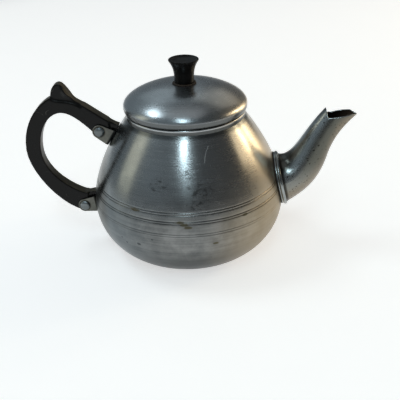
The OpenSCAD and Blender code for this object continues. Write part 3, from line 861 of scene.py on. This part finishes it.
def make_spout():
    """The spout: polished outside, bright on its slightly nicked lip with wear and a painted edge
    highlight, stained inside.
    """
    sides = 128
    lip_room = 0.006
    angles = [2 * math.pi * j / sides for j in range(sides)]
    nick = np.random.default_rng(11).normal(0, 0.0035, sides)
    nick = np.convolve(np.tile(nick, 3), (0.25, 0.5, 0.25), "same")[sides:2 * sides]
    skins = []
    for inset in (0, SPOUT_WALL):
        ends = [spout_end(a, inset) - lip_room - abs(n) for a, n in zip(angles, nick)]
        skins.append(spout_skin(angles, ends, inset))
    outer, inner = skins
    lip = rounded_lip(outer, inner)
    spout = ring_mesh("spout_tube", outer + lip + inner[::-1], SPOUT, 60)
    # The lip takes the collar's brighter metal: worn bright, and a painted edge highlight.
    spout.data.materials.append(COLLAR)
    spout.data.materials.append(TEA_STAINED)
    lip_start = sides * (len(outer) - 1)
    lip_end = lip_start + sides * (len(lip) + 1)
    for polygon in spout.data.polygons:
        polygon.material_index = int(polygon.index >= lip_start) + int(polygon.index >= lip_end)
    return place(spout, "spout", "pot")


def collar_section():
    """Distance out from the spout and from the pot wall: a low land, then the round bead."""
    middle = COLLAR_LAND_W + 0.45 * COLLAR_W
    section = [(SEAT_GAP, 0), (COLLAR_LAND_H - 0.15, 0), (COLLAR_LAND_H, 0.2),
               (COLLAR_LAND_H, COLLAR_LAND_W * 0.45), (COLLAR_LAND_H, COLLAR_LAND_W * 0.9)]
    for b in np.radians(np.linspace(-58, 90, 16)):
        out = SEAT_GAP + COLLAR_PROUD / 2 * (1 + math.cos(b))
        section.append((out, middle + COLLAR_W / 2 * math.sin(b)))
    return section + [(SEAT_GAP, middle + COLLAR_W / 2)]


def make_collar():
    """The ring round the foot of the spout; its land and outer foot are black with old dirt."""
    around = 144
    section = collar_section()
    rings = []
    for j in range(around):
        angle = 2 * math.pi * j / around
        foot = spout_point(0, angle, 0)
        out = spout_point(0, angle, -1) - foot
        rings.append([seat(foot + out * high) + np.array((along, 0, 0)) for high, along in section])
    collar = ring_mesh("spout_collar_bead", rings, COLLAR, 60)
    collar.data.materials.append(JOINT_DIRT)
    for polygon in collar.data.polygons:
        strip = polygon.index % len(section)
        polygon.material_index = int(strip < DIRTY_STRIPS or strip >= len(section) - DIRTY_STRIPS)
    return place(collar, "spout_collar", "pot")


# ---------------- handle, brackets and rivets
def make_handle():
    """The CAD moulding, remeshed finely and smoothed so that its edges are rounded, but hardly
    where its tongues end close to the pot."""
    handle = bpy.data.objects.new("handle_moulding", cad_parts["handle"].data.copy())
    bpy.context.scene.collection.objects.link(handle)
    handle.data.materials.clear()
    handle.data.materials.append(PHENOLIC)
    add_modifier(handle, "WELD", merge_threshold=0.00001)
    add_modifier(handle, "REMESH", mode="VOXEL", voxel_size=0.40 * MM)
    apply_modifiers(handle, 180)
    rounded = handle.vertex_groups.new(name="rounded")
    for vertex in handle.data.vertices:
        x, _, z = vertex.co / MM
        from_pot = -x - pot_r(z)
        rounded.add([vertex.index], min(1, max(0.15, (from_pot - 1) / 4)), "REPLACE")
    add_modifier(handle, "SMOOTH", factor=0.5, iterations=32, vertex_group="rounded")
    apply_modifiers(handle, 180)
    return place(handle, "handle", "pot")


def strap_path(width, reach):
    """Middle line of the strap in its own XY plane, from one ear's tip round to the other's."""
    bend = 1.6
    side = (width - BRACKET_T) / 2
    base = BRACKET_T / 2
    path = [(x, side) for x in np.linspace(reach, base + bend, 26)]
    path += arc((base + bend, side - bend), bend, 90, 180, 8)[1:]
    path += [(base, y) for y in np.linspace(side - bend, -side + bend, 6)][1:-1]
    path += arc((base + bend, -side + bend), bend, 180, 270, 8)
    path += [(x, -side) for x in np.linspace(base + bend, reach, 26)][1:]
    return path


def make_bracket(side):
    """A folded strap with round ears and softened cut edges."""
    z, reach = BRACKETS[side]
    rows = []
    for x, y in strap_path(HANDLE_T + 2 * BRACKET_T, reach + EAR_R - 0.02):
        half = EAR_R + (BRACKET_W / 2 - EAR_R) * (1 - x / reach)
        if x > reach:
            half = math.sqrt(EAR_R ** 2 - (x - reach) ** 2)
        rows.append([(x, y, half * v) for v in np.linspace(-1, 1, 13)])
    verts = [p for row in rows for p in row]
    across = len(rows[0])
    faces = [(i * across + j, i * across + j + 1, (i + 1) * across + j + 1, (i + 1) * across + j)
             for i in range(len(rows) - 1) for j in range(across - 1)]
    bracket = new_object(f"{side}_handle_bracket", verts, faces, SHEET)
    add_modifier(bracket, "SOLIDIFY", thickness=BRACKET_T * MM, offset=0.0, use_even_offset=True)
    add_modifier(bracket, "BEVEL", width=0.22 * MM, segments=3, limit_method="ANGLE",
                 angle_limit=math.radians(50))
    apply_modifiers(bracket, 40)
    bracket.data.transform(on_wall(z))
    return place(bracket, f"{side}_bracket", "pot")


def dome(radius, height, lift, count=12):
    """Outline of a rivet head from its rim to its crown, with a short upright edge."""
    edge = 0.3
    line = [(radius - 0.12, lift), (radius, lift + 0.12), (radius, lift + edge)]
    for i in range(1, count + 1):
        angle = math.pi / 2 * i / count
        line.append((radius * math.cos(angle), lift + edge + (height - edge) * math.sin(angle) ** 0.9))
    return line


def make_cross_rivet(side):
    """The rivet through both ears of a bracket and the handle between them."""
    z, reach = BRACKETS[side]
    half = HANDLE_T / 2 + BRACKET_T
    top = [(SHANK_R, half)] + dome(CROSS_HEAD_R, CROSS_HEAD_H, half)[:-1] + [(0, half + CROSS_HEAD_H)]
    rivet = lathe(f"{side}_cross_pin", [(r, -h) for r, h in reversed(top)] + top, RIVET, 48)
    turn = Matrix.Rotation(math.pi / 2, 4, "X")
    rivet.data.transform(on_wall(z) @ Matrix.Translation((MM * reach, 0, 0)) @ turn)
    return place(rivet, f"{side}_cross_rivet", "pot")


def make_wall_rivets(side):
    """Two small rivets through bracket and pot, with low heads on both sides."""
    name = f"{side}_wall_pins"
    head = 0.9
    outer = [(WALL_RIVET_R, BRACKET_T)] + dome(WALL_RIVET_R + 1, head, BRACKET_T)[:-1]
    inner = [(WALL_RIVET_R, POT_WALL)] + dome(WALL_RIVET_R + 1.2, head, POT_WALL)[:-1]
    profile = [(0, -POT_WALL - head)] + [(r, -h) for r, h in reversed(inner)]
    profile += outer + [(0, BRACKET_T + head)]
    rivets = []
    for up in (-WALL_RIVET_OFFSET, WALL_RIVET_OFFSET):
        rivet = lathe(name, profile, RIVET, 40)
        turn = Matrix.Rotation(math.pi / 2, 4, "Y")
        rivet.data.transform(Matrix.Translation((0, 0, MM * up)) @ turn)
        rivets.append(rivet)
    rivets = join(name, rivets)
    shade(rivets)
    rivets.data.transform(on_wall(BRACKETS[side][0]))
    return place(rivets, f"{side}_wall_rivets", "pot")


# ---------------- lid
def lid_shape(r, z, angle):
    """A little ripple in the dome; always inwards."""
    sag = 0.04 * (1 + math.sin(4 * angle + r / 7)) * min(1, max(0, (r - 12) / 10))
    return r - sag * 0.5, z - sag * min(1, max(0, (LID_R - r) / 6))


def make_lid():
    """The domed shell with its turned edge and the flat ring that rests on the rim."""
    crown = bezier_run(LID_CURVE, 60)
    outer = [(SCREW_HOLE_R, LID_TOP_Z)] + crown
    turned = [(LID_R - 0.05, LID_Z + 2.6), (LID_R - 0.25, LID_Z + 1.4), (LID_R - 0.6, LID_Z + 0.6),
              (LID_R - 1.1, LID_Z + 0.15), (LID_R - 1.7, LID_Z)]
    under = [(MOUTH_R + 1.2, LID_Z), (MOUTH_R + 1.1, LID_Z + 0.3), (MOUTH_R + 1.1, LID_Z + LID_WALL),
             (LID_R - 1.8, LID_Z + LID_WALL)]
    inside = offset(crown, LID_WALL)[::-1]
    profile = outer + turned + under + inside + [(SCREW_HOLE_R, LID_TOP_Z - LID_WALL)]
    lid = lathe("lid_shell", profile, LID, 288, lid_shape)
    return place(lid, "lid_dome", "lid")


def make_locating_rim():
    """The ring under the lid that drops into the mouth, with a flange at its top."""
    sheet, flange_r = 0.9, LID_R - 2.6
    top = LID_Z + LID_WALL
    profile = [(LOCATING_R - sheet, LOCATING_Z + 0.2), (LOCATING_R - sheet / 2, LOCATING_Z),
               (LOCATING_R, LOCATING_Z + 0.2), (LOCATING_R, top), (flange_r, top),
               (flange_r, top + sheet), (LOCATING_R - sheet, top + sheet)]
    rim = lathe("lid_locating_ring", profile, SHEET, 192)
    return place(rim, "lid_locating_rim", "lid")


def knob_shape(r, z, angle):
    """Small chips in the front half of the knob's top edge."""
    near = min(1, max(0, (z - KNOB_TOP_Z + 1.6) / 1.2)) * min(1, max(0, (r - KNOB_R + 2.2) / 1.4))
    chip = max(0, math.sin(7 * angle + 1.3) * math.sin(11 * angle) - 0.35) * max(0, -math.sin(angle))
    return r - 0.5 * chip * near, z - 0.9 * chip * near


def make_knob():
    """The flared knob with a dished top and a bore for the insert."""
    edge_r, bore_r, bore_top = 0.55, 3.2, KNOB_Z + 9
    rim = arc((KNOB_R - edge_r, KNOB_TOP_Z - edge_r), edge_r, 0, 90, 6)
    dish = [(KNOB_R - 1.3, KNOB_TOP_Z - 0.05), (KNOB_R - 2.2, KNOB_TOP_Z - 0.55),
            (KNOB_R - 3.6, KNOB_TOP_Z - 1.0), (KNOB_R - 6.5, KNOB_TOP_Z - 1.45), (0, KNOB_TOP_Z - 1.6)]
    profile = [(bore_r, KNOB_Z)] + bezier_run(KNOB_CURVE, 30) + rim + dish
    profile += [(0, bore_top), (bore_r, bore_top)]
    knob = lathe("knob_moulding", profile, KNOB_PHENOLIC, 128, knob_shape)
    return place(knob, "knob", "lid")


def washer_shape(r, z, angle):
    """A frayed outer edge."""
    fray = 0.22 * (1 + math.sin(9 * angle) * math.sin(4 * angle + 1)) if r > 5 else 0
    return r - fray, z


def make_knob_washer():
    """The fibre ring between lid and knob."""
    profile = [(SCREW_HOLE_R, LID_TOP_Z), (WASHER_R - 0.3, LID_TOP_Z), (WASHER_R, LID_TOP_Z + 0.3),
               (WASHER_R - 0.1, LID_TOP_Z + 0.75), (WASHER_R - 0.6, KNOB_Z), (SCREW_HOLE_R, KNOB_Z)]
    washer = lathe("knob_washer_ring", profile, FIBRE, 96, washer_shape, 60)
    return place(washer, "knob_washer", "lid")


def thread(crest_r, groove_r, start_z, length):
    """Outline of a thread along Z, from its first crest to its last groove."""
    line = []
    for i in range(int(length / THREAD_PITCH)):
        z = start_z + i * THREAD_PITCH
        line += [(crest_r, z), (groove_r, z + THREAD_PITCH / 2)]
    return line


def make_knob_insert():
    """The brass bush moulded into the knob, threaded inside."""
    (_, _, _), (_, insert_r, top) = box_mm("knob_insert")
    bore = thread(SCREW_R, SCREW_R + THREAD_DEPTH, KNOB_Z, top - KNOB_Z - 1)
    profile = [(0, top - 1), (0, top), (insert_r - 0.2, top), (insert_r, top - 0.2), (insert_r, KNOB_Z)]
    insert = lathe("knob_thread_insert", profile + bore, BRASS, 64)
    return place(insert, "knob_insert", "lid")


def make_knob_screw():
    """The slotted screw that holds the knob from inside the lid."""
    (_, _, low), (_, head_r, shank_top) = box_mm("knob_screw")
    head_top = box_mm("knob_inner_washer")[0][2]
    shank_r = SCREW_R - 0.02
    profile = [(0, low), (head_r - 1, low + 0.12), (head_r - 0.3, low + 0.5), (head_r, low + 0.9),
               (head_r, head_top), (shank_r, head_top)]
    profile += thread(shank_r, SCREW_R - THREAD_DEPTH, head_top + 0.6, shank_top - head_top - 1)
    profile += [(SCREW_R - 0.5, shank_top), (0, shank_top)]
    screw = lathe("knob_slotted_screw", profile, STEEL, 64)
    half_w, depth = 0.5, 0.9
    corners = [(x, y, z) for z in (low - 1, low + depth) for y in (-half_w, half_w)
               for x in (-head_r - 1, head_r + 1)]
    slot = new_object("slot", corners, [(0, 1, 3, 2), (4, 5, 7, 6), (0, 1, 5, 4), (2, 3, 7, 6),
                                        (0, 2, 6, 4), (1, 3, 7, 5)], STEEL)
    cut(screw, slot)
    return place(screw, "knob_screw", "lid")


def make_inner_washer():
    """The steel washer under the screw's head."""
    (_, _, low), (_, outer_r, top) = box_mm("knob_inner_washer")
    profile = [(SCREW_HOLE_R, low), (outer_r - 0.3, low), (outer_r, low + 0.25),
               (outer_r, top - 0.1), (outer_r - 0.1, top), (SCREW_HOLE_R, top)]
    washer = lathe("knob_steel_washer", profile, STEEL, 96)
    return place(washer, "knob_inner_washer", "lid")


# ---------------- stage
# The point that the camera looks at, and how far and from where it looks, in metres.
TARGET = Vector((0.00809, 0.00042, 0.0334))
CAMERA_DISTANCE = 0.520
CAMERA_SIDE = math.radians(3)
CAMERA_RISE = math.radians(28.27)
CAMERA_ROLL = math.radians(-1.96)
CAMERA_LENS = 61.4
# Half width of the floor, strength of its glow, and middle and reach of the glowing part, in mm.
FLOOR_REACH = 4000.0
FLOOR_GLOW = 0.58
GLOW_CENTRE = (0.0, 250.0, 0.0)
GLOW_REACH = (550.0, 750.0, 1000.0)
# What the lamps are aimed at, in metres, and the colours of two windows.
LAMP_AIM = Vector((0, 0, 0.07))
COOL_WINDOW = (0.74, 0.93, 1.0)
WARM_WINDOW = (1.0, 0.82, 0.55)
# Light of the room: axis of the direction, where the light begins and is full along it, colour.
ROOM_LIGHT = [(2, -2.0, -1.5, (0.065, 0.070, 0.073)), (0, 0.2, -0.8, (0.10, 0.125, 0.140)),
              (1, 0.2, 0.8, (0.03, 0.035, 0.04)), (2, 0.25, 0.0, (0.06, 0.06, 0.06))]


def direction(side, rise):
    """Unit vector from the pot to something `side` round from the front, towards the spout."""
    return Vector((math.cos(rise) * math.sin(side), -math.cos(rise) * math.cos(side), math.sin(rise)))


def make_camera():
    """A camera that looks at the target from its side and height, a little rolled."""
    back = direction(CAMERA_SIDE, CAMERA_RISE)
    right = Vector((math.cos(CAMERA_SIDE), math.sin(CAMERA_SIDE), 0))
    up = back.cross(right)
    turned_right = math.cos(CAMERA_ROLL) * right + math.sin(CAMERA_ROLL) * up
    turned_up = -math.sin(CAMERA_ROLL) * right + math.cos(CAMERA_ROLL) * up
    camera = bpy.data.objects.new("camera", bpy.data.cameras.new("camera"))
    camera.data.lens = CAMERA_LENS
    camera.data.sensor_width = 36
    camera.data.clip_start = 0.02
    camera.matrix_world = Matrix.Translation(TARGET + back * CAMERA_DISTANCE) @ Matrix(
        (turned_right, turned_up, back)).transposed().to_4x4()
    bpy.context.scene.collection.objects.link(camera)
    bpy.context.scene.camera = camera


def soft_light(name, seen_at, size, power, colour, roll=0):
    """A rectangular lamp aimed at the pot and turned by `roll` degrees on its own axis. It is seen
    at so many degrees round from the front and above level, and so many metres away."""
    side, rise, distance = seen_at
    lamp = bpy.data.lights.new(name, "AREA")
    lamp.shape = "RECTANGLE"
    lamp.size, lamp.size_y = size
    lamp.energy = power
    lamp.color = colour
    aim = direction(math.radians(side), math.radians(rise))
    holder = bpy.data.objects.new(name, lamp)
    holder.location = LAMP_AIM + aim * distance
    holder.rotation_mode = "QUATERNION"
    holder.rotation_quaternion = aim.to_track_quat("Z", "Y") @ Quaternion((0, 0, 1), math.radians(roll))
    holder.visible_camera = False
    bpy.context.scene.collection.objects.link(holder)


def make_floor():
    """A pale floor that glows a little, so that it stays pale under dim lamps."""
    f = Finish("pale_floor")
    grain = f.noise(40, 3.0)
    out = f.vector("SUBTRACT", f.mm, GLOW_CENTRE)
    out = f.vector("LENGTH", f.vector("MULTIPLY", out, tuple(1 / r for r in GLOW_REACH)))
    glow = f.step(out, 1.0, 1.7, FLOOR_GLOW, 0.08)
    material = f.wire(Base_Color=f.tint(grain, (0.78, 0.78, 0.78), (0.82, 0.82, 0.82)), Roughness=0.9,
                      Specular_IOR_Level=0.1, Emission_Color=(1, 1, 1), Emission_Strength=glow)
    corners = [(FLOOR_REACH * x, FLOOR_REACH * y, 0) for x, y in ((-1, -1), (1, -1), (1, 1), (-1, 1))]
    new_object("floor", corners, [(0, 1, 2, 3)], material)


def make_room():
    """A dim room: dark above and to the right, paler and cooler at the left and behind."""
    world = bpy.data.worlds.new("room")
    world.use_nodes = True
    room = Nodes(world.node_tree)
    look = room.node("ShaderNodeSeparateXYZ", {0: room.node("ShaderNodeTexCoord").outputs["Generated"]})
    light = (0, 0, 0)
    for axis, low, high, colour in ROOM_LIGHT:
        share = room.step(look.outputs[axis], low, high)
        light = room.vector("ADD", light, room.vector("SCALE", colour, Scale=share))
    room.tree.links.new(light, room.tree.nodes["Background"].inputs[0])
    bpy.context.scene.world = world


def make_lamps():
    """Cool windows in front and at the left, warm ones at the right, dim ones behind."""
    soft_light("key", (-2, 47, 1.6), (0.18, 0.44), 2.9, COOL_WINDOW)
    soft_light("key_top", (-8, 62, 1.6), (0.30, 0.24), 1.2, COOL_WINDOW)
    soft_light("key_tail", (1, 29, 1.6), (0.20, 0.36), 0.22, COOL_WINDOW)
    soft_light("left_cool", (-102, 57, 1.6), (0.64, 0.32), 4.3, (0.82, 0.95, 1.0))
    soft_light("warm_one", (109, 19, 1.4), (0.16, 0.40), 1.5, WARM_WINDOW)
    soft_light("warm_two", (124, 9, 1.4), (0.18, 0.40), 1.2, WARM_WINDOW)
    soft_light("warm_glow", (114, 16, 1.4), (1.35, 0.42), 3.6, (1.0, 0.83, 0.57), roll=-25)
    soft_light("left_beige", (-84, 20, 1.4), (0.50, 0.92), 1.05, (1.0, 0.94, 0.70))
    soft_light("back_left", (-166, 42, 1.6), (0.85, 0.85), 0.7, (0.84, 0.96, 1.0))
    soft_light("back_right", (152, 42, 1.6), (0.85, 0.85), 0.80, (1.0, 0.96, 0.86))
    soft_light("overhead", (0, 89, 1.8), (1.2, 1.2), 1.2, (1.0, 1.0, 1.0))


make_camera()
make_floor()
make_room()
make_lamps()
bpy.context.scene.view_settings.view_transform = "Standard"
make_pot()
make_spout()
make_collar()
make_handle()
for side in BRACKETS:
    make_bracket(side)
    make_cross_rivet(side)
    make_wall_rivets(side)
make_lid()
make_locating_rim()
make_knob()
make_knob_washer()
make_knob_insert()
make_knob_screw()
make_inner_washer()

bpy.context.view_layer.update()
